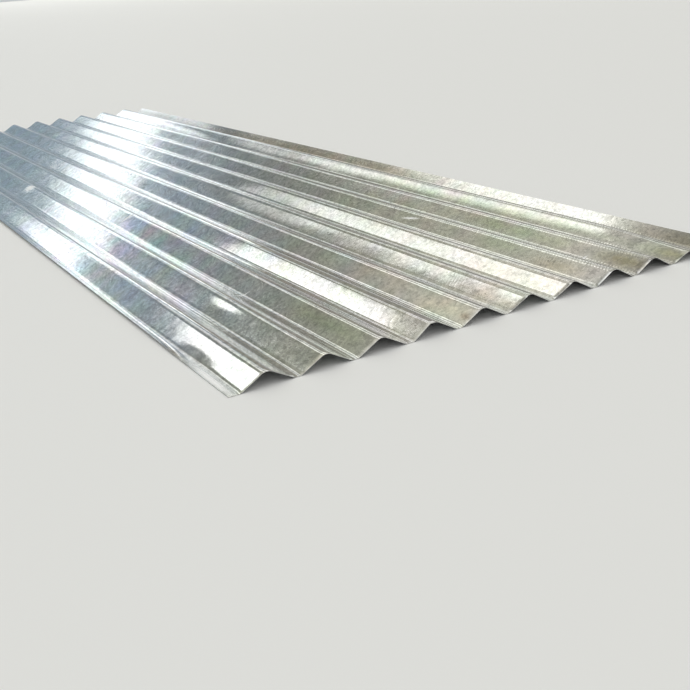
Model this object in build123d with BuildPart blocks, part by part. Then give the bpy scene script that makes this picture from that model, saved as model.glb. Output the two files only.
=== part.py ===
from build123d import *
from math import asin, atan2, cos, degrees, hypot, tan
import os

# Corrugated galvanised roofing sheet: one steel strip, rolled into round waves that run
# the whole length, and sheared square at both ends.
# X runs along the waves, Y across them, and Z is up. The origin is under the middle of
# the sheet, on the level that its valleys rest on. Sizes are in millimetres.

# Size of the sheet
length = 2440.0
crest_count = 10
pitch = 76.2
overall_depth = 18.0
thickness = 0.5

# Shape of one wave
inside_radius = 14.25

# Long edges, each measured across the sheet from the outermost valley on its side
low_edge_run = 10.7
high_edge_run = 27.4

# A wave is two straight flanks between rounded bends of one radius. The flank is the
# line that touches both bends, and its slope follows from the depth and the pitch.
middle_depth = overall_depth - thickness
middle_radius = inside_radius + thickness / 2
half_pitch = pitch / 2
bend_centre_rise = middle_depth - 2 * middle_radius
bend_centre_distance = hypot(half_pitch, bend_centre_rise)
flank_angle = atan2(bend_centre_rise, half_pitch) + asin(2 * middle_radius / bend_centre_distance)
flank_slope = tan(flank_angle)

# The underside, drawn first with sharp corners. A corner lies outside its bend, so the
# valley corners are set that much below the resting level.
outside_radius = inside_radius + thickness
valley_corner = -outside_radius * (1 / cos(flank_angle) - 1)
crest_corner = valley_corner + half_pitch * flank_slope

# Across the sheet, the two long edges are equally far from the origin.
covered_width = crest_count * pitch
sheet_width = low_edge_run + covered_width + high_edge_run
first_valley = low_edge_run - sheet_width / 2
last_valley = first_valley + covered_width


def underside_corners():
    """Corners of the underside from the low edge to the high edge, before rounding."""
    corners = [(first_valley - low_edge_run, valley_corner + low_edge_run * flank_slope)]
    for wave in range(crest_count):
        valley = first_valley + wave * pitch
        corners.append((valley, valley_corner))
        corners.append((valley + half_pitch, crest_corner))
    corners.append((last_valley, valley_corner))
    corners.append((last_valley + high_edge_run, valley_corner + high_edge_run * flank_slope))
    return corners


# Seen from below, a valley is the outside of its bend and a crest is the inside.
bend_radii = [outside_radius, inside_radius] * crest_count + [outside_radius]

with BuildPart() as corrugated_sheet:
    with BuildSketch(Plane.YZ.offset(-length / 2)) as section:
        with BuildLine() as skin:
            FilletPolyline(*underside_corners(), radius=bend_radii)
            offset(amount=thickness, side=Side.LEFT)
        make_face()
    extrude(amount=length)

corrugated_sheet.part.label = "corrugated_sheet"

os.makedirs("parts", exist_ok=True)
export_step(corrugated_sheet.part, "parts/corrugated_sheet.step")

print("sheet", length, "x", round(sheet_width, 1), "x", overall_depth, "flank", round(degrees(flank_angle), 1))
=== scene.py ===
# %% [markdown]
# # A corrugated sheet of galvanised steel
#
# The real object is one strip of thin steel, dipped in zinc and rolled into round waves. Almost
# everything that the eye sees on it is reflection: the flat flanks mirror the light around them, and the
# bends draw it out into thin bright lines. So this lesson spends its effort on four things: the exact
# wave, the small unevenness of rolled metal, a zinc finish that breaks up the mirror, and the light that
# the mirror shows.
#
# The packed model comes in first. It fixes the size and the place of everything else, in metres.

import math

import bpy
from mathutils import Matrix, Vector


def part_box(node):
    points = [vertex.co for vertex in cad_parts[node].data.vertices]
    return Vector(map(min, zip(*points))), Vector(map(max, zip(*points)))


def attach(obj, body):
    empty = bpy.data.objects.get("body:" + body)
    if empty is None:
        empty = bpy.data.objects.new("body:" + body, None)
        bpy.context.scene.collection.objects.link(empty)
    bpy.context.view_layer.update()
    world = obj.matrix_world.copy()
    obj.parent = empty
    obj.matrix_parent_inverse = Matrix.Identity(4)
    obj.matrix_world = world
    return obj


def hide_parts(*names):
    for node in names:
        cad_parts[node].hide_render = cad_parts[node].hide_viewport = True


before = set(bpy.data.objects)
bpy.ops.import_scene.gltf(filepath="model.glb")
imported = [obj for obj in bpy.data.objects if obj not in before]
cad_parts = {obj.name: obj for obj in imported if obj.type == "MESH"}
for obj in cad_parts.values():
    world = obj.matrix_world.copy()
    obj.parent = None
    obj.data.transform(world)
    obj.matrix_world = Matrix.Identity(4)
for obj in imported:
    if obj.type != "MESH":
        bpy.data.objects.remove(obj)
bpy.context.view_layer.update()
sheet_low, sheet_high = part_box("corrugated_sheet")
sheet_length = sheet_high.x - sheet_low.x
sheet_width = sheet_high.y - sheet_low.y
wave_depth = sheet_high.z - sheet_low.z
print("sheet", round(sheet_length, 4), "x", round(sheet_width, 4), "x", round(wave_depth, 5))

# %% [markdown]
# ## The camera
#
# A photograph can be taken again in Blender once its camera is known. This one stands low, near the front
# left corner, and looks along the sheet and down at it. Its place and its three angles were found by
# matching crests and valleys of known spacing to where they lie in the picture. A focal length in pixels
# becomes a lens by the share of the frame's width that it spans, so the picture's own size, 690 pixels,
# is all that is needed.

# %% The photographer's camera
picture_side = 690
focal_pixels = 948.7
sensor_width = 36
camera_place = Vector((2.0966, -0.7546, 0.4214))
heading = math.radians(29.93)
downward = math.radians(21.56)
sideways_lean = math.radians(-4.24)

looking = Vector((-math.cos(heading) * math.cos(downward), math.sin(heading) * math.cos(downward),
                  -math.sin(downward)))
level_right = looking.cross(Vector((0, 0, 1))).normalized()
level_up = level_right.cross(looking)
right = math.cos(sideways_lean) * level_right + math.sin(sideways_lean) * level_up
up = right.cross(looking)

camera = bpy.data.objects.new("photographers_camera", bpy.data.cameras.new("photographers_camera"))
bpy.context.scene.collection.objects.link(camera)
camera.data.sensor_width = sensor_width
camera.data.lens = sensor_width * focal_pixels / picture_side
camera.data.clip_start = 0.01
camera.matrix_world = Matrix.Translation(camera_place) @ Matrix((right, up, -looking)).transposed().to_4x4()
bpy.context.scene.camera = camera
print("lens", round(camera.data.lens, 1), "mm, looking", [round(c, 3) for c in looking])

# %% [markdown]
# ## Writing nodes as sums
#
# The wave, the zinc and the light are all node trees, and most of their nodes are plain arithmetic. Three
# small classes let that arithmetic be written as Python. A Field is one output of a node: adding or
# multiplying Fields adds the Math nodes. Outputs finds a node's outputs by name. A Board is a tree to
# work on, and its add method makes every other kind of node.

# %% A field: one output of a node


class Field:
    """An output of a node, which takes part in arithmetic."""

    def __init__(self, board, socket):
        self.board = board
        self.socket = socket

    def calculate(self, operation, *others):
        """A Math node on this field and up to two more values."""
        return self.board.calculate(operation, self, *others)

    def __add__(self, other):
        return self.calculate("ADD", other)

    def __radd__(self, other):
        return self.calculate("ADD", other)

    def __sub__(self, other):
        return self.calculate("SUBTRACT", other)

    def __rsub__(self, other):
        return self.board.calculate("SUBTRACT", other, self)

    def __mul__(self, other):
        return self.calculate("MULTIPLY", other)

    def __rmul__(self, other):
        return self.calculate("MULTIPLY", other)

    def __truediv__(self, other):
        return self.calculate("DIVIDE", other)

    def __rtruediv__(self, other):
        return self.board.calculate("DIVIDE", other, self)

    def __mod__(self, other):
        return self.calculate("FLOORED_MODULO", other)

    def __pow__(self, other):
        return self.calculate("POWER", other)

    def __neg__(self):
        return self.calculate("MULTIPLY", -1)

    def __abs__(self):
        return self.calculate("ABSOLUTE")

    def __lt__(self, other):
        return self.calculate("LESS_THAN", other)

    def __gt__(self, other):
        return self.calculate("GREATER_THAN", other)

    def sin(self):
        return self.calculate("SINE")

    def cos(self):
        return self.calculate("COSINE")

    def sign(self):
        return self.calculate("SIGN")

    def round(self):
        return self.calculate("ROUND")

    def floor(self):
        return self.calculate("FLOOR")

    def at_most(self, limit):
        return self.calculate("MINIMUM", limit)

    def at_least(self, limit):
        return self.calculate("MAXIMUM", limit)

    def step(self, start, end):
        """0 where this field is at start, 1 where it is at end, and smooth between."""
        return self.board.add("ShaderNodeMapRange", {"interpolation_type": "SMOOTHSTEP"},
                              {"Value": self, "From Min": start, "From Max": end})["Result"]

    def hump(self, middle, half_width):
        """1 at the middle, falling away like a bell to about nothing at twice the half width."""
        away = (self - middle) / half_width
        return (away * away * -1).calculate("EXPONENT")


def added(fields):
    """The sum of some fields."""
    first, *others = fields
    return sum(others, first)


print("a field has:", ", ".join(name for name in vars(Field) if not name.startswith("_")))

# %% A board: a tree to work on


class Outputs:
    """The outputs of one node, by number or by name."""

    def __init__(self, board, node):
        self.board = board
        self.node = node

    def __getitem__(self, key):
        return Field(self.board, Board.find(self.node.outputs, key))


class Board:
    """A node tree to work on."""

    def __init__(self, tree):
        self.tree = tree
        self.inputs = {}

    @staticmethod
    def find(sockets, key):
        """The socket with this number, identifier or name."""
        if isinstance(key, int):
            return sockets[key]
        return next(s for s in sockets if s.identifier == key or (s.name == key and s.enabled))

    def add(self, kind, settings=None, inputs=None):
        """Makes a node: first its settings, then the values or links of its sockets."""
        node = self.tree.nodes.new(kind)
        for name, value in (settings or {}).items():
            if name == "stops":
                self.set_stops(node.color_ramp.elements, value)
            else:
                setattr(node, name, value)
        for name, value in (inputs or {}).items():
            socket = self.find(node.inputs, name)
            for one in value if isinstance(value, list) else [value]:
                if isinstance(one, Field):
                    self.tree.links.new(one.socket, socket)
                else:
                    socket.default_value = one
        return Outputs(self, node)

    @staticmethod
    def set_stops(ramp, stops):
        """Gives a colour ramp its stops, each a place and a colour."""
        while len(ramp) < len(stops):
            ramp.new(0.5)
        for stop, (place, colour) in zip(ramp, stops):
            stop.position = place
            stop.color = (*colour, 1)

    def calculate(self, operation, *values):
        """A Math node."""
        return self.add("ShaderNodeMath", {"operation": operation}, dict(enumerate(values)))[0]

    def vector(self, x, y, z=0):
        """A vector from two or three numbers."""
        return self.add("ShaderNodeCombineXYZ", inputs={"X": x, "Y": y, "Z": z})["Vector"]

    def parts(self, vector):
        """The three numbers of a vector."""
        split = self.add("ShaderNodeSeparateXYZ", inputs={"Vector": vector})
        return split["X"], split["Y"], split["Z"]

    def arrows(self, operation, *vectors):
        """A Vector Math node. It gives a number for a dot product."""
        made = self.add("ShaderNodeVectorMath", {"operation": operation}, dict(enumerate(vectors)))
        return made["Value" if operation == "DOT_PRODUCT" else "Vector"]

    def noise(self, vector, scale, detail=2, roughness=0.5):
        """A Noise Texture, with about this many patches to one unit of the vector."""
        return self.add("ShaderNodeTexNoise", inputs={
            "Vector": vector, "Scale": scale, "Detail": detail, "Roughness": roughness})

    def blend(self, share, first, second, way="MIX"):
        """A mix of two colours."""
        return self.add("ShaderNodeMix", {"data_type": "RGBA", "blend_type": way},
                        {"Factor_Float": share, "A_Color": first, "B_Color": second})["Result_Color"]

    def stain(self, share, ground, colour):
        """The ground multiplied by a colour, by a share that varies."""
        return self.blend(share, ground, (*colour, 1), "MULTIPLY")


print("a board has:", ", ".join(name for name in vars(Board) if not name.startswith("_")))

# %% [markdown]
# ## The wave
#
# A corrugating machine bends the strip between rollers, so each wave is two straight flanks between round
# bends. That is a rule, and Geometry Nodes can follow a rule exactly. The tree starts from a plain grid.
# One way across the grid counts steps over the strip: four for half a bend, six for a flank, four for the
# next half bend. The nodes turn that count into a place on the wave. The other way runs along the sheet,
# with closer rows towards the near end, where the small damage lies.
#
# A grid was chosen over a swept curve because every point knows how far it is along the strip and on
# which flank it lies. The unevenness below and the zinc both need that.

# %% Sizes of the wave
wave_count = 10
pitch = 0.0762
thickness = 0.0005
bend_radius = 0.0145
low_edge_run = 0.0107
high_edge_run = 0.0274

half_pitch = pitch / 2
middle_rise = wave_depth - thickness - 2 * bend_radius
middle_distance = math.hypot(half_pitch, middle_rise)
flank_angle = math.atan2(middle_rise, half_pitch) + math.asin(2 * bend_radius / middle_distance)
bend_run = bend_radius * math.sin(flank_angle)
corner_run = thickness / 2 * math.sin(flank_angle)
flank_length = (half_pitch - 2 * bend_run) / math.cos(flank_angle)
half_wave = flank_length + 2 * bend_radius * flank_angle
print("flank slope", round(math.degrees(flank_angle), 2), "degrees")
print("half a wave takes", round(half_wave * 1000, 2), "mm of strip")

# %% [markdown]
# ## What the rollers leave behind
#
# No two flanks leave the rollers quite alike. Each leans a little more or less than the drawing says, and
# a few lean by some degrees, so they mirror another lamp than their neighbours do. That is why single
# flanks are white near the front end while the ones beside them are grey. The lean changes along the
# sheet, so it is given for each flank at five places. Some flanks are bowed as well, which spreads one
# reflection over the whole flank or gathers it into a streak, and all of them ripple by up to a fifth of
# a millimetre, which bends the edges of the reflections.
#
# Flanks are numbered from the low edge. Only the flanks that face the camera are listed: on the others a
# lean of a degree can't be seen.

# %% How far each flank leans, in degrees, below zero where it is flatter, and how far it bows
lean_places = (0.15, 0.45, 0.75, 1.15, 1.80)
leans = {
    1: (0.4, 0.4, 0.3, 0.2, 0),
    2: (-1.0, -0.9, -0.4, 0, 0),
    3: (-0.3, -0.2, 0, 0, 0),
    4: (5.0, 5.0, 1.5, 0, 0),
    5: (-0.3, 0.1, 0, 0, 0),
    6: (-3.9, -3.5, -4.1, -0.8, 0),
    7: (-4.0, -3.7, -4.4, -0.6, 0),
    8: (0.1, 0.4, 0.1, 0, 0.4),
    9: (0.9, 0.8, 0.3, 0.6, 0.5),
    10: (0.0, -0.6, -0.6, -0.7, -0.9),
    11: (-0.4, -0.2, 0.8, 1.8, 0.6),
}
flank_bow = {6: 0.00004, 7: -0.00014, 8: -0.00003, 10: 0.00019}
ripple_height = 0.0002
ripple_length = 0.14
ripple_width = 0.04
print("flanks that lean by over two degrees:", [n for n, lean in leans.items() if max(map(abs, lean)) > 2])

# %% [markdown]
# ## What handling leaves behind
#
# A thin sheet dents wherever something touches it. A dent here is a soft bump or hollow on one flank,
# less than a millimetre high. It hardly changes the outline, but it turns the metal by a few degrees, so
# a dark or a white patch appears in the mirror. Dents could be sculpted, but a short list of them can be
# read and changed. The near corners have had harder knocks: on the right the last crest is pressed in, and
# on the left the low lip is bent flat and the valley beside it bulges. The shear has also pulled the very
# edge down a little.

# %% Dents: flank, place from the near end, place above the flank's middle, reach along and up, height
dents = [
    (1, 0.145, -0.0136, 0.060, 0.0055, 0.00048),
    (1, 0.015, 0.000, 0.022, 0.012, -0.00030),
    (2, 0.245, 0.001, 0.044, 0.012, -0.00088),
    (4, 0.020, -0.008, 0.030, 0.008, -0.00014),
    (5, 0.030, 0.002, 0.016, 0.010, -0.00012),
    (6, 0.665, 0.004, 0.035, 0.008, -0.00012),
    (8, 0.420, 0.000, 0.018, 0.006, -0.00010),
    (8, 0.012, -0.004, 0.016, 0.010, -0.00012),
    (10, 0.080, 0.004, 0.010, 0.014, -0.00040),
]
pressed_crest_share = 0.26
pressed_crest_reach = 0.17
pressed_crest_spread = 0.9
bent_lip_share = 0.95
bent_lip_reach = 0.26
bent_lip_flat = 0.07
bulge_rise = 0.0009
bulge_place = 0.115
bulge_reach = 0.075
bulge_run = 0.022
shear_roll_depth = 0.0003
shear_roll_reach = 0.003
shear_draw_back = 0.1
print(len(dents), "dents, the deepest", max(abs(height) for *_, height in dents) * 1000, "mm")

# %% [markdown]
# ## The tree of the rolled sheet
#
# Every main size is a named input of the tree, so the same tree can roll another sheet. A modifier finds
# an input by its identifier, not by its name, so both are kept as the inputs are made.

# %% The tree and its inputs
bend_steps = 4
flank_steps = 6
lip_steps = 2
raised_steps = 4
rows = 160
row_crowding = 1.35
wave_steps = 2 * bend_steps + flank_steps
columns = (bend_steps + lip_steps) + 2 * wave_count * wave_steps + (bend_steps + raised_steps)

rolled = Board(bpy.data.node_groups.new("rolled_sheet", "GeometryNodeTree"))
sockets = rolled.tree.interface
input_kinds = {
    "Float": ("Length", "First Valley", "Rest Level", "Half Pitch", "Depth", "Thickness", "Bend Radius",
              "Flank Angle", "Flank Length", "Half Wave", "Lip Run", "Lip Flank", "Raised End",
              "Raised Flank", "Ripple", "Pressed Crest", "Bent Lip", "Bulge", "Shear Roll"),
    "Int": ("Waves", "Columns", "Rows", "Seed"),
    "Material": ("Zinc", "Sheared"),
}
for kind, names in input_kinds.items():
    for name in names:
        socket = sockets.new_socket(name=name, in_out="INPUT", socket_type="NodeSocket" + kind)
        rolled.inputs[name] = socket.identifier
sockets.new_socket(name="Geometry", in_out="OUTPUT", socket_type="NodeSocketGeometry")
given = Outputs(rolled, rolled.tree.nodes.new("NodeGroupInput"))
print("inputs:", ", ".join(rolled.inputs))

# %% [markdown]
# The grid is one unit to a step, so a point's place is its count. The count is then read as the nearest
# bend, how far the bend has turned there, and how far along the flank the point lies. The steps of a
# flank are shorter near the bends, because a dent or a lean has to fade out there. The two long edges
# have no second bend: the low lip ends soon after its valley, and the raised edge ends half way up the
# next flank.

# %% From steps to a place on the strip
grid = rolled.add("GeometryNodeMeshGrid", inputs={
    "Size X": given["Rows"], "Size Y": given["Columns"],
    "Vertices X": given["Rows"] + 1, "Vertices Y": given["Columns"] + 1})
row, column, _ = rolled.parts(rolled.add("GeometryNodeInputPosition")["Position"])
row = (row + given["Rows"] / 2).round()
column = (column + given["Columns"] / 2).round() - (bend_steps + lip_steps)

nearest = (column / wave_steps).round().at_least(0).at_most(given["Waves"] * 2)
steps_away = column - nearest * wave_steps
side = steps_away.sign()
bend_angle = abs(steps_away).at_most(bend_steps) * (given["Flank Angle"] / bend_steps)
on_lip = column < 0
on_raised_edge = column > given["Waves"] * (2 * wave_steps)
steps_up_flank = (abs(steps_away) - bend_steps).at_least(0)
half_flank_run = (steps_up_flank / (flank_steps / 2)) ** 2 * (given["Flank Length"] / 2)
lip_run = steps_up_flank * (given["Lip Flank"] / lip_steps)
raised_run = (steps_up_flank / raised_steps) ** 2 * given["Raised Flank"]
flank_run = half_flank_run * (1 - on_lip - on_raised_edge) + lip_run * on_lip + raised_run * on_raised_edge
strip_run = given["Bend Radius"] * bend_angle + flank_run
print("columns", columns, "rows", rows, "triangles about", 4 * (columns * rows + columns + rows))

# %% [markdown]
# The even bends are valleys and the odd ones are crests. A point's distance from its bend gives its place
# across the sheet and its height, by the circle of the bend and the straight line of the flank. From the
# place on the strip comes a UV map in metres, which the zinc reads, so the grains lie on the strip as
# they did before it was rolled. The shear rolls the near end down and draws it back by a tenth as much.

# %% From the strip to the wave
is_crest = nearest % 2
turn = 1 - is_crest * 2
across = nearest * given["Half Pitch"] + side * (given["Bend Radius"] * bend_angle.sin()
                                                 + flank_run * given["Flank Angle"].cos())
off_bend = given["Bend Radius"] * (1 - bend_angle.cos()) + flank_run * given["Flank Angle"].sin()
height = off_bend * turn + is_crest * (given["Depth"] - given["Thickness"])
slope = bend_angle * side * turn
from_near_end = (1 - row / given["Rows"]) ** row_crowding * given["Length"]
shear_roll = from_near_end.step(shear_roll_reach, 0.0) * given["Shear Roll"]
along = given["Length"] / 2 - from_near_end - shear_roll * shear_draw_back

strip_place = rolled.vector(along, nearest * given["Half Wave"] + side * strip_run)
on_strip = rolled.add("GeometryNodeStoreNamedAttribute", {"data_type": "FLOAT2", "domain": "CORNER"},
                      {"Geometry": grid["Mesh"], "Name": "strip", "Value": strip_place})
print("the wave has", len(rolled.tree.nodes), "nodes")

# %% [markdown]
# The unevenness is a distance off the drawing, square to the flank. A lean grows from the flank's middle
# to its ends, a bow is highest in the middle, and the ripple is a slow noise, read at another place for
# each flank. All three fade out at the bends, which keep their level. The five given leans are mixed along
# the sheet: each place's share rises from the place before and falls towards the next.

# %% Leans, bows, ripples and dents
flank_number = (nearest / 2).floor() + 1
rising = (side * turn + 1) / 2
from_valley = strip_run * turn + is_crest * given["Half Wave"]
off_middle = from_valley - given["Half Wave"] / 2
flank_end = flank_length / half_wave / 2
fade_end = 0.46
flank_shift = 3.7
facing_shift = 1.9
in_reach = abs(off_middle / given["Half Wave"]).step(fade_end, flank_end)


def by_flank(values):
    """The value of the flank that a point is on, and 0 on the flanks that face away."""
    return added((abs(flank_number - number) < 0.5) * value for number, value in values.items()) * rising


reached = [from_near_end.step(start, end) for start, end in zip(lean_places, lean_places[1:])]
shares = [1 - reached[0]] + [here - beyond for here, beyond in zip(reached, reached[1:])] + [reached[-1]]
lean = math.radians(1) * added(
    by_flank({number: places[i] for number, places in leans.items() if places[i]}) * share
    for i, share in enumerate(shares))
bow = by_flank(flank_bow) * (1 - (off_middle * 2 / given["Flank Length"]) ** 2)
ripple_place = rolled.vector(along / ripple_length,
                             flank_number * flank_shift + rising * facing_shift + given["Seed"],
                             off_middle / ripple_width)
ripple = rolled.noise(ripple_place, 1, 1)[0] - 0.5
dented = added(
    by_flank({number: dent_height}) * from_near_end.hump(place, reach) * off_middle.hump(up_flank, spread)
    for number, place, up_flank, reach, spread, dent_height in dents)
off_drawing = in_reach * (lean * off_middle + bow + ripple * given["Ripple"] * 2) + dented - shear_roll
print("with its unevenness", len(rolled.tree.nodes), "nodes")

# %% [markdown]
# The damage at the corners works on the height instead. A lattice could bend them too, but taking away a
# share of the height keeps the metal inside the solid's box. A pressed crest loses a quarter of its
# height, and the bent lip nearly all. The bulge lifts the low valley a little, just behind the corner.

# %% The two near corners
last_crest = 2 * wave_count - 1
over_crest = (across / given["Half Pitch"]).hump(last_crest, pressed_crest_spread)
pressed = from_near_end.step(pressed_crest_reach, 0.0) * over_crest * given["Pressed Crest"]
bent = from_near_end.step(bent_lip_reach, bent_lip_flat) * on_lip * given["Bent Lip"]
is_valley = 1 - is_crest
in_low_valley = (strip_run * is_valley).step(bulge_run, 0.0) * (flank_number < 1.5) * is_valley
down_lip = (-across / given["Lip Run"]).at_least(0).at_most(1)
bulge = from_near_end.hump(bulge_place, bulge_reach) * in_low_valley * (1 - down_lip) * given["Bulge"]
height_left = height * (1 - pressed) * (1 - bent) + bulge
print("with its corners", len(rolled.tree.nodes), "nodes")

# %% [markdown]
# So far the sheet is a surface half way through the steel. Every point stays inside the packed solid's
# box: that is what the limits on its place are for. The surface then moves half a thickness down, and
# Extrude Mesh raises the upper face and the edge walls from it. The copy below is flipped to face down
# and joined on, so the steel is closed all round. A Solidify modifier would thicken it too, but here the
# walls are marked as they are made, because the cut steel has a finish of its own.

# %% The surface and its thickness
weld_distance = 0.00001
highest = given["Depth"] - given["Thickness"]
place_across = (across - slope.sin() * off_drawing).at_least(-given["Lip Run"]).at_most(given["Raised End"])
place_up = (height_left + slope.cos() * off_drawing).at_least(0).at_most(highest)
surface = rolled.add("GeometryNodeSetPosition", inputs={
    "Geometry": on_strip[0],
    "Position": rolled.vector(along, given["First Valley"] + place_across,
                              given["Rest Level"] + given["Thickness"] / 2 + place_up)})
half_down = rolled.add("ShaderNodeVectorMath", {"operation": "SCALE"}, {
    0: rolled.add("GeometryNodeInputNormal")["Normal"], "Scale": given["Thickness"] * -0.5})["Vector"]
lower = rolled.add("GeometryNodeSetPosition", inputs={"Geometry": surface[0], "Offset": half_down})
upper = rolled.add("GeometryNodeExtrudeMesh", {"mode": "FACES"},
                   {"Mesh": lower[0], "Offset Scale": given["Thickness"], "Individual": False})
marked = rolled.add("GeometryNodeStoreNamedAttribute", {"data_type": "BOOLEAN", "domain": "FACE"},
                    {"Geometry": upper["Mesh"], "Name": "sheared_face", "Value": upper["Side"]})
underside = rolled.add("GeometryNodeFlipFaces", inputs={"Mesh": lower[0]})
joined = rolled.add("GeometryNodeJoinGeometry", inputs={"Geometry": [underside[0], marked[0]]})
closed = rolled.add("GeometryNodeMergeByDistance", inputs={"Geometry": joined[0], "Distance": weld_distance})
print("with its thickness", len(rolled.tree.nodes), "nodes")

# %% [markdown]
# The tree ends in plain mesh, which Realize Instances makes sure of. Set Material then gives the zinc to
# every face, and the bare steel to the marked walls. Both finishes are inputs, as the sizes are. They
# could be given to the mesh afterwards, but here the tree still knows which faces were cut.

# %% The finishes on their faces
smooth = rolled.add("GeometryNodeSetShadeSmooth", inputs={"Geometry": closed[0], "Shade Smooth": True})
realised = rolled.add("GeometryNodeRealizeInstances", inputs={"Geometry": smooth[0]})
zinc_on = rolled.add("GeometryNodeSetMaterial", inputs={"Geometry": realised[0], "Material": given["Zinc"]})
sheared_faces = rolled.add("GeometryNodeInputNamedAttribute", {"data_type": "BOOLEAN"},
                           {"Name": "sheared_face"})
finished = rolled.add("GeometryNodeSetMaterial", inputs={
    "Geometry": zinc_on[0], "Selection": sheared_faces[0], "Material": given["Sheared"]})
group_output = rolled.tree.nodes.new("NodeGroupOutput")
rolled.tree.links.new(finished[0].socket, group_output.inputs["Geometry"])
print("nodes in the finished tree:", len(rolled.tree.nodes))

# %% [markdown]
# ## The zinc
#
# Hot-dip zinc freezes into grains called spangle. On this sheet they are small, a few millimetres across.
# Each grain is a slightly tilted facet with its own brightness, so the mirror looks frosted near by and
# clean from afar.
#
# A Voronoi texture gives the grains. The random colour of a cell sets three things at once: how bright
# the grain is, how rough it is, and which way it tilts. The tilt is a plane through the middle of the
# cell, handed to a Bump node as a height in metres, so it holds at any scale.

# %% A material to work on


def new_finish(name, metallic=1.0, roughness=0.4):
    """A new material, its board and its Principled shader."""
    material = bpy.data.materials.new(name)
    material.use_nodes = True
    shader = material.node_tree.nodes["Principled BSDF"]
    shader.inputs["Metallic"].default_value = metallic
    shader.inputs["Roughness"].default_value = roughness
    return material, Board(material.node_tree), shader


def feed(board, shader, **links):
    """Links fields to the shader's sockets, with _ for a space."""
    for name, field in links.items():
        board.tree.links.new(field.socket, shader.inputs[name.replace("_", " ")])


zinc, board, zinc_shader = new_finish("galvanised_spangle")
print("new material", zinc.name)

# %% The grains of the spangle
grain_size = 0.0034
grain_tilt = 0.003
grain_wobble = 0.004
wobble_scale = 160

strip = board.add("ShaderNodeUVMap", {"uv_map": "strip"})["UV"]
strip_x, strip_y, _ = board.parts(strip)
wobble = board.arrows("SUBTRACT", board.noise(strip, wobble_scale, 1)["Color"], (0.5, 0.5, 0.5))
wobbled = board.arrows("MULTIPLY_ADD", wobble, (grain_wobble, grain_wobble, 0), strip)
grains = board.add("ShaderNodeTexVoronoi", {"voronoi_dimensions": "2D"}, {
    "Vector": wobbled, "Scale": 1 / grain_size, "Randomness": 1.0})
grain_random = board.arrows("SUBTRACT", grains["Color"], (0.5, 0.5, 0.5))
grain_level, _, grain_haze = board.parts(grains["Color"])
off_grain_middle = board.arrows("SUBTRACT", wobbled, grains["Position"])
facet = board.arrows("DOT_PRODUCT", off_grain_middle, grain_random) * grain_tilt
print("grains", grain_size * 1000, "mm across")

# %% [markdown]
# Over the grains lies a finer frost, and every few centimetres the zinc clouds, because some of the bath
# froze sooner than the rest. A photograph of zinc would repeat over so long a sheet, and noise doesn't.
# Noises of four sizes are added to the grain's own level, and a ramp turns the sum into a grey. One of
# them is drawn out along the sheet, for the faint streaks that the rollers wipe into the zinc.

# %% The frost, the mottle and the clouds
frost_scale = 700
mottle_scale = 85
cloud_scale = 22
streaks_along = 60
streaks_across = 420
dark_zinc = (0.36, 0.37, 0.37)
middle_zinc = (0.61, 0.62, 0.62)
bright_zinc = (0.84, 0.85, 0.85)

frost = board.noise(strip, frost_scale, 3, 0.7)[0]
mottle = board.noise(strip, mottle_scale, 2, 0.6)[0]
streak = board.noise(board.vector(strip_x * streaks_along, strip_y * streaks_across), 1, 2)[0]
cloud = board.noise(strip, cloud_scale, 3)[0]
layers = [(grain_level, 0.4), (frost, 0.9), (mottle, 0.9), (cloud, 0.5), (streak, 0.15)]
brightness = 0.5 + added((layer - 0.5) * share for layer, share in layers)
spangle_colour = board.add("ShaderNodeValToRGB", {"stops": [
    (0.0, dark_zinc), (0.5, middle_zinc), (1.0, bright_zinc)]}, {"Fac": brightness})["Color"]
print("zinc greys from", dark_zinc[0], "to", bright_zinc[0])

# %% [markdown]
# The mill leaves a thin passivation film on the zinc. It tints the metal like a film of oil: a breath of
# blue, green and straw that drifts from one hand's width to the next, and rather more of it on the left,
# two thirds of a metre from the near end. A ramp of oil colours would show as bands. The colour of a
# slow noise doesn't, so that gives the tint, and the film's depth says how much of it shows.

# %% The film's tint
film_scale = 17
film_contrast = (2.4, 2.4, 2.4)
film_darkening = (-0.2, -0.2, -0.2)
deep_film_place = 0.55
deep_film_reach = 0.30
thin_film = 0.04
patchy_film = 0.06
deep_film = 0.18


def patches(along, across, start, end):
    """Soft patches over the strip, so many to a metre along it and across it."""
    return board.noise(board.vector(strip_x * along, strip_y * across), 1, 1)[0].step(start, end)


film_noise = board.noise(strip, film_scale, 1)["Color"]
film_colour = board.arrows("MULTIPLY_ADD", film_noise, film_contrast, film_darkening)
film_patches = patches(2.1, 4.0, 0.35, 0.65)
left_part = strip_y.step(0.50, 0.10)
film_depth = strip_x.hump(deep_film_place, deep_film_reach) * left_part
film_share = thin_film + film_patches * patchy_film + film_depth * deep_film
film_tint = board.blend(film_share, (1, 1, 1, 1), film_colour)
tinted = board.blend(1.0, spangle_colour, film_tint, "MULTIPLY")
print("the film tints by up to", round(thin_film + patchy_film + deep_film, 2))
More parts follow.
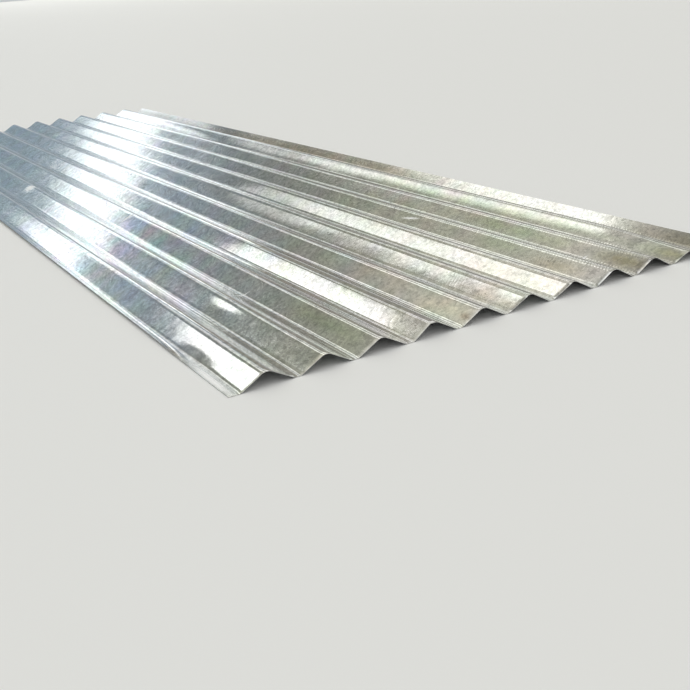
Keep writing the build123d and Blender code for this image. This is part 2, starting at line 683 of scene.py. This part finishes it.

# %% [markdown]
# Water and dust have stained the sheet in places: a long green-grey wet streak on the last but one flank,
# dirt on the ridges beside it, and straw, olive and brown near the front end, with one spot of rust at
# the end of the fifth flank. A stain is a soft patch that multiplies the zinc's colour. A colour above 1
# is the reverse: the one such patch, at the front of the fifth flank, is a painted highlight that makes
# the mirror there brighter.
# Stains could be painted on a picture of the strip, but in a list each keeps its place in metres and can
# be moved. A stain is given by its flank and by the share of the way up it, where 1 is the crest and 1.5
# the middle of the flank behind. The mottle breaks it up.

# %% Stains and one painted highlight: flank, place from the near end, share of the way up, half length, half width, and colour
stains = [
    (10, 0.470, 0.45, 0.420, 0.011, (0.70, 0.76, 0.64)),
    (10, 0.020, 0.50, 0.032, 0.014, (0.80, 0.79, 0.63)),
    (11, 1.400, 0.30, 0.450, 0.020, (1.00, 0.87, 0.72)),
    (11, 2.350, 0.30, 0.420, 0.020, (0.42, 0.40, 0.38)),
    (11, 0.060, 0.30, 0.090, 0.020, (0.70, 0.68, 0.60)),
    (11, 0.870, 0.30, 0.120, 0.020, (0.70, 0.67, 0.60)),
    (9, 0.035, 0.50, 0.060, 0.014, (0.66, 0.63, 0.50)),
    (9, 0.280, 0.55, 0.130, 0.012, (0.88, 0.94, 0.80)),
    (8, 0.215, 0.60, 0.050, 0.012, (0.90, 0.97, 0.86)),
    (8, 0.090, 0.40, 0.050, 0.012, (1.00, 0.94, 0.85)),
    (6, 0.040, 0.40, 0.050, 0.010, (1.00, 0.95, 0.92)),
    (5, 0.050, 0.50, 0.060, 0.016, (1.00, 0.93, 0.88)),
    # Painted highlight: this brighter patch lightens the mirror on the front of the fifth flank.
    (5, 0.160, 0.50, 0.220, 0.018, (1.20, 1.20, 1.20)),
    (5, 0.011, 0.45, 0.009, 0.005, (0.66, 0.58, 0.53)),
    (3, 0.110, 0.60, 0.080, 0.012, (0.88, 0.95, 0.82)),
    (7, 0.080, 0.50, 0.120, 0.014, (0.97, 0.92, 0.88)),
    (7, 0.850, 1.50, 0.220, 0.024, (0.60, 0.63, 0.58)),
    (8, 0.850, 1.50, 0.350, 0.026, (0.50, 0.54, 0.48)),
    (9, 0.850, 1.50, 0.400, 0.026, (0.45, 0.48, 0.42)),
]


def strip_place_x(from_end):
    """The place along the strip, from the distance from the near end."""
    return sheet_length / 2 - from_end


def strip_place_y(number, share_up):
    """The place over the strip, from a flank and the share of the way up it."""
    return (2 * number - 2 + share_up) * half_wave


patchy = mottle + 0.5
stained_and_highlit = tinted
for number, from_end, share_up, half_long, half_wide, colour in stains:
    stain = strip_x.hump(strip_place_x(from_end), half_long) \
        * strip_y.hump(strip_place_y(number, share_up), half_wide)
    stained_and_highlit = board.stain(stain * patchy, stained_and_highlit, colour)
print(len(stains), "stains")

# %% [markdown]
# Small dents and the bent lip catch the light in bright glints. These are painted highlights here: pale,
# matt strokes on the zinc, which is no longer quite a mirror there. The longest is on the bent lip. Each is
# a soft stroke that can be turned. A stroke takes off no height that could be seen, so it stays out of the
# mesh and makes the zinc paler, rougher and less metallic.

# %% Painted highlights: place on the strip, half length, half width, and turn in degrees
scuffs = [
    (-0.080, 0.1195, 0.010, 0.0160, 90),
    (0.366, 0.2010, 0.018, 0.0030, 75),
    (0.760, 0.6173, 0.016, 0.0020, 12),
    (1.116, 0.6830, 0.006, 0.0022, 80),
    (0.912, 0.1697, 0.010, 0.0012, 70),
    (1.020, 0.3150, 0.012, 0.0014, 30),
    (1.165, -0.0060, 0.060, 0.0050, 0),
]


def stroke(place_x, place_y, half_long, half_wide, turned):
    """1 in the middle of a stroke over the strip, falling away to 0."""
    forward = math.cos(math.radians(turned))
    sideways = math.sin(math.radians(turned))
    off_x = strip_x - place_x
    off_y = strip_y - place_y
    along_stroke = off_x * forward + off_y * sideways
    over_stroke = off_y * forward - off_x * sideways
    return along_stroke.hump(0, half_long) * over_stroke.hump(0, half_wide)


# Painted highlights: the strokes turn the zinc pale, matt and less metallic.
glint_strength = 0.9
glint_white = (0.93, 0.93, 0.93, 1)
scuff = added(stroke(*places) for places in scuffs).at_most(1)
print(len(scuffs), "scuffs")

# %% [markdown]
# The rollers stutter here and there and leave fine cross marks on the bends, about six millimetres apart,
# and in two places right across a flank. Each mark could be a mesh of its own, but they are only
# hundredths of a millimetre high, so a sine wave along the strip gives them in the zinc. It is held to the
# bends by the strip's own place, and by slow noise to a few stretches of the right-hand half, towards the
# near end. The marks stand a little proud, and the zinc is darkened along them: painted shade in a
# fine hatch.

# %% Roller chatter
chatter_spacing = 0.0058
chatter_slant = 500
chatter_patches = [(8, 0.115), (6, 0.132)]
patch_half_length = 0.018
patch_half_width = 0.012
bend_marks_end = 0.0105
bend_marks_full = 0.0055
# Painted shade in the hatch: how far it darkens the zinc, and the grey it darkens towards.
chatter_shade_share = 0.30
painted_shade_grey = (0.4, 0.4, 0.4)

from_bend = (strip_y / half_wave).calculate("PINGPONG", 0.5) * half_wave
near_bend = from_bend.step(bend_marks_end, bend_marks_full)
right_part = strip_y.step(0.30, 0.42)
near_part = strip_x.step(0.35, 0.65)
stretches = patches(2.3, 7.0, 0.40, 0.60) * right_part * near_part
over_flank = added(
    strip_x.hump(strip_place_x(from_end), patch_half_length)
    * strip_y.hump(strip_place_y(number, 0.5), patch_half_width)
    for number, from_end in chatter_patches)
chatter = (strip_x * (2 * math.pi / chatter_spacing) + strip_y * chatter_slant).sin() \
    * (near_bend * stretches + over_flank).at_most(1)
# Painted shade: the hatch darkens the zinc's colour along the marks.
shade_hatched = board.stain(chatter.at_least(0) * chatter_shade_share, stained_and_highlit, painted_shade_grey)
glinted_colour = board.blend(scuff * glint_strength, shade_hatched, glint_white)
print("chatter every", chatter_spacing * 1000, "mm")

# %% [markdown]
# New zinc is almost a mirror. Its roughness is low and varies with the grains and the frost. The relief
# could be modelled, but it would need millions of faces, so a Bump node turns the normal instead. The
# relief adds up the tilted grains, the chatter and a slow orange-peel wave of a few hundredths of a
# millimetre, all in metres.

# %% Roughness and relief
new_zinc_roughness = 0.085
chatter_height = 0.000026
peel_height = 0.00006
peel_scale = 55

rougher = [(grain_haze, 0.03), (frost - 0.5, 0.05), (cloud - 0.5, 0.03), (chatter.at_least(0), 0.03),
           (scuff, 0.40)]
roughness = new_zinc_roughness + added(layer * share for layer, share in rougher)
orange_peel = board.noise(strip, peel_scale, 1)[0] * peel_height
relief = facet + chatter * chatter_height + orange_peel
bumped = board.add("ShaderNodeBump", inputs={"Strength": 1.0, "Distance": 1.0, "Height": relief})["Normal"]
feed(board, zinc_shader, Base_Color=glinted_colour, Metallic=1 - scuff * glint_strength,
     Roughness=roughness, Normal=bumped)
print("zinc nodes:", len(zinc.node_tree.nodes))

# %% [markdown]
# ## The sheared edge
#
# The sheet is cut after it is galvanised, so its edges are bare steel with the drag lines of the shear.
# They run through the thickness, so the noise is stretched upwards: it changes fast along the edge and
# slowly up it. The edge could share the zinc, but then it would lack these lines. It has no strip place of
# its own and reads Object coordinates.

# %% Bare steel
drag_lines = (900, 900, 60)
dark_steel = (0.45, 0.45, 0.44, 1)
bright_steel = (0.75, 0.75, 0.74, 1)

sheared, board, sheared_shader = new_finish("sheared_edge")
place_on_edge = board.add("ShaderNodeTexCoord")["Object"]
drag = board.noise(board.arrows("MULTIPLY", place_on_edge, drag_lines), 1, 2)[0]
steel_colour = board.blend(drag, dark_steel, bright_steel)
feed(board, sheared_shader, Base_Color=steel_colour, Roughness=0.30 + drag * 0.20)
print("edge nodes:", len(sheared.node_tree.nodes))

# %% [markdown]
# ## Rolling the sheet
#
# The tree is put on an empty mesh as a modifier. Its inputs are set by their identifiers before anything
# is evaluated. A live modifier would do for a picture, but here the result is taken as a plain mesh, and
# the modifier goes.

# %% The sheet
sheet = bpy.data.objects.new("rolled_corrugated_sheet", bpy.data.meshes.new("rolled_corrugated_sheet"))
bpy.context.scene.collection.objects.link(sheet)
rolling = sheet.modifiers.new("rolling", "NODES")
rolling.node_group = rolled.tree
settings = {
    "Length": sheet_length, "First Valley": sheet_low.y + low_edge_run, "Rest Level": sheet_low.z,
    "Half Pitch": half_pitch, "Depth": wave_depth, "Thickness": thickness, "Bend Radius": bend_radius,
    "Flank Angle": flank_angle, "Flank Length": flank_length, "Half Wave": half_wave,
    "Lip Run": low_edge_run - corner_run,
    "Lip Flank": (low_edge_run - bend_run - corner_run) / math.cos(flank_angle),
    "Raised End": wave_count * pitch + high_edge_run - corner_run,
    "Raised Flank": (high_edge_run - bend_run - corner_run) / math.cos(flank_angle),
    "Ripple": ripple_height, "Pressed Crest": pressed_crest_share, "Bent Lip": bent_lip_share,
    "Bulge": bulge_rise, "Shear Roll": shear_roll_depth,
    "Waves": wave_count, "Columns": columns, "Rows": rows, "Seed": 4, "Zinc": zinc, "Sheared": sheared,
}
for name, value in settings.items():
    rolling[rolled.inputs[name]] = value
rolled_mesh = bpy.data.meshes.new_from_object(sheet.evaluated_get(bpy.context.evaluated_depsgraph_get()))
sheet.modifiers.remove(rolling)
sheet.data = rolled_mesh
print("faces", len(rolled_mesh.polygons), "uv", [u.name for u in rolled_mesh.uv_layers])

# %% [markdown]
# The evaluated mesh may hold an empty material slot, which goes, and so does the mark on the cut faces,
# now that it has done its work. The corners between the faces and the cut edge stay sharp. The finished
# sheet then stands for the packed solid and rides on the one body.

# %% In the packed solid's place
sharp_angle = math.radians(40)
for slot_index in reversed([i for i, m in enumerate(rolled_mesh.materials) if m is None]):
    rolled_mesh.materials.pop(index=slot_index)
rolled_mesh.set_sharp_from_angle(angle=sharp_angle)
rolled_mesh.attributes.remove(rolled_mesh.attributes["sheared_face"])
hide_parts("corrugated_sheet")
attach(sheet, "root")
print("materials", [m.name for m in rolled_mesh.materials])

# %% [markdown]
# ## The floor
#
# A plain pale floor carries the sheet and takes its shadow. A backdrop that curves up would do for one
# view, but this sheet is looked at from all sides, so the floor is one flat face that reaches the horizon.
# It lies a hair under the sheet, so the two never fight for the same place.

# %% A wide pale floor
floor_reach = 60
floor_level = -0.0002
floor_grey = (0.80, 0.80, 0.79, 1)
floor_mesh = bpy.data.meshes.new("studio_floor")
floor_mesh.from_pydata([(x * floor_reach, y * floor_reach, floor_level)
                        for x, y in ((-1, -1), (1, -1), (1, 1), (-1, 1))], [], [(0, 1, 2, 3)])
floor = bpy.data.objects.new("studio_floor", floor_mesh)
bpy.context.scene.collection.objects.link(floor)
floor_paint, _, floor_shader = new_finish("floor_paint", metallic=0.0, roughness=0.7)
floor_shader.inputs["Base Color"].default_value = floor_grey
floor_mesh.materials.append(floor_paint)
print("floor", 2 * floor_reach, "m wide")

# %% [markdown]
# ## The light
#
# A mirror shows its surroundings, so the light is built like a room. The first part is a soft dome with
# four sides. The sheet runs away from the camera, so all its flanks and bends mirror the far side of the
# room. That side is a quiet grey, in three parts: the flanks on the left look to the left of the room,
# those in the middle straight ahead, and the bends sweep the wall on the right. The fourth side lies
# overhead and behind the camera. No flank shows it from here, so it can be plain: it lights the floor,
# and it is what the metal mirrors in views from elsewhere. Its left half is shaded and its right half
# bright, so that the two slopes of a wave look different in those views too.
#
# Each side is a ramp of colours by the angle above the horizon. It runs on the height of the direction,
# which is the sine of that angle.

# %% The dome
world = bpy.data.worlds.new("studio_dome")
bpy.context.scene.world = world
world.use_nodes = True
sky = Board(world.node_tree)
east, north, rise = sky.parts(sky.add("ShaderNodeTexCoord")["Generated"])


def dome_ramp(colours):
    """Colours by degrees above the horizon."""
    stops = [(math.sin(math.radians(degrees)), colour) for degrees, colour in colours.items()]
    return sky.add("ShaderNodeValToRGB", {"stops": stops}, {"Fac": rise})["Color"]


high_white = (1.70, 1.70, 1.65)
left_side = dome_ramp({
    0: (0.56, 0.58, 0.60), 8: (0.42, 0.49, 0.54), 14: (0.28, 0.37, 0.43), 22: (0.35, 0.43, 0.50),
    27: (0.32, 0.36, 0.37), 32: (0.35, 0.36, 0.30), 37: (0.46, 0.455, 0.37), 40: (0.70, 0.68, 0.56),
    44: (0.84, 0.81, 0.70), 50: (0.95, 0.93, 0.83), 62: high_white})
straight_ahead = dome_ramp({
    0: (0.56, 0.58, 0.60), 8: (0.42, 0.49, 0.54), 14: (0.28, 0.36, 0.42), 20: (0.32, 0.39, 0.45),
    24: (0.25, 0.29, 0.31), 29: (0.28, 0.29, 0.26), 37: (0.46, 0.45, 0.36), 44: (0.60, 0.58, 0.47),
    48: (0.80, 0.77, 0.67), 51: (0.42, 0.41, 0.35), 54: (0.48, 0.47, 0.42), 62: high_white})
right_wall = dome_ramp({
    0: (0.50, 0.50, 0.49), 4: (0.40, 0.40, 0.39), 9: (0.36, 0.345, 0.30), 27: (0.36, 0.345, 0.285),
    37: (0.42, 0.42, 0.36), 44: (0.56, 0.55, 0.46), 50: (0.90, 0.88, 0.80), 62: high_white})
shaded_side = dome_ramp({
    0: (0.56, 0.57, 0.57), 15: (0.45, 0.47, 0.47), 35: (0.50, 0.50, 0.49), 55: (0.85, 0.85, 0.83),
    64: (1.35, 1.35, 1.32)})
bright_side = dome_ramp({
    0: (0.56, 0.57, 0.57), 15: (0.60, 0.61, 0.61), 35: (0.75, 0.75, 0.74), 55: (1.00, 1.00, 0.98),
    64: (1.35, 1.35, 1.32)})
print("ramps:", len([node for node in world.node_tree.nodes if node.type == "VALTORGB"]))

# %% [markdown]
# The sides are joined by soft steps on the direction itself. Its first number points along the sheet and
# its second across it. A sharp joint would show as a hard line in the bends.

# %% The joints between the sides
left_to_middle = (0.02, 0.06)
middle_to_right = (0.28, 0.42)
shaded_to_bright = (-0.4, 0.4)
far_to_behind = (-0.45, -0.30)

far_side = sky.blend(north.step(*left_to_middle), left_side, straight_ahead)
far_side = sky.blend(north.step(*middle_to_right), far_side, right_wall)
behind_camera = sky.blend(north.step(*shaded_to_bright), shaded_side, bright_side)
dome = sky.blend(east.step(*far_to_behind), far_side, behind_camera)
feed(sky, world.node_tree.nodes["Background"], Color=dome)
print("dome nodes:", len(world.node_tree.nodes))

# %% [markdown]
# The second part is a set of softboxes. Glowing panels of mesh would get into some of the views. Area
# lamps are bright panels that the camera doesn't see and the metal does, and each makes a white shape on
# the sheet. A row of upright ones on the far wall makes the bright band across the far half. Level ones
# overhead make the white on the leaning flanks near the front and brighten the ridges. A panel's power is
# worked out from the brightness at which it should show in the metal.
#
# Placing them is billiards: a flank at one slope mirrors one direction, so a level panel is given by the
# slopes at which it is seen from the middle of the sheet.

# %% How a softbox is made
far_wall = -60
rig_height = 30
cool_white = (0.97, 1.0, 0.99)
warm_white = (1.0, 1.0, 0.96)


def softbox(name, low, high, radiance, tint):
    """A panel between two corners, upright or level, that shows in the metal with the given radiance."""
    middle = [(a + b) / 2 for a, b in zip(low, high)]
    upright = low[0] == high[0]
    lamp = bpy.data.lights.new(name, "AREA")
    lamp.shape = "RECTANGLE"
    lamp.size = high[2] - low[2] if upright else high[0] - low[0]
    lamp.size_y = high[1] - low[1]
    lamp.energy = math.pi * radiance * lamp.size * lamp.size_y
    lamp.color = tint
    panel = bpy.data.objects.new(name, lamp)
    panel.location = middle
    panel.rotation_euler = (0, -math.pi / 2 if upright else 0, 0)
    bpy.context.scene.collection.objects.link(panel)
    print(name, round(lamp.size, 1), "x", round(lamp.size_y, 1), "m, radiance", radiance)


def overhead(name, x_slopes, y_slopes, radiance):
    """A level panel, by the slopes at which it is seen from the middle of the sheet."""
    low, high = ((x * rig_height, y * rig_height, rig_height) for x, y in zip(x_slopes, y_slopes))
    softbox(name, low, high, radiance, warm_white)


print("overhead panels hang", rig_height, "m up")

# %% The softboxes
softbox("far_left_softbox", (far_wall, -16, 17.6), (far_wall, -5.6, 21.6), 1.8, cool_white)
softbox("far_softbox", (far_wall, -5.6, 18.8), (far_wall, 12.5, 22.9), 1.75, cool_white)
softbox("far_gap_softbox", (far_wall, 4.0, 22.9), (far_wall, 5.5, 26.2), 1.4, cool_white)
softbox("far_right_softbox", (far_wall, 13, 13), (far_wall, 27.5, 21), 1.4, cool_white)
overhead("middle_right_softbox", (-2.5, -1.72), (0.32, 0.72), 0.75)
overhead("near_right_softbox", (-1.90, -1.25), (0.70, 1.90), 0.85)
overhead("left_softbox", (-1.98, -1.26), (-0.62, -0.225), 1.6)
overhead("right_softbox", (-1.74, -0.87), (0.174, 0.26), 1.25)
overhead("right_softbox_tail", (-2.10, -1.74), (0.174, 0.26), 0.63)
overhead("right_soft_rim", (-1.72, -0.87), (0.26, 0.42), 0.65)
overhead("second_right_softbox", (-1.72, -0.80), (0.60, 0.78), 0.8)
bpy.context.scene.view_settings.view_transform = "Standard"

# %% [markdown]
# The dressed sheet has to stay inside the packed solid's box.
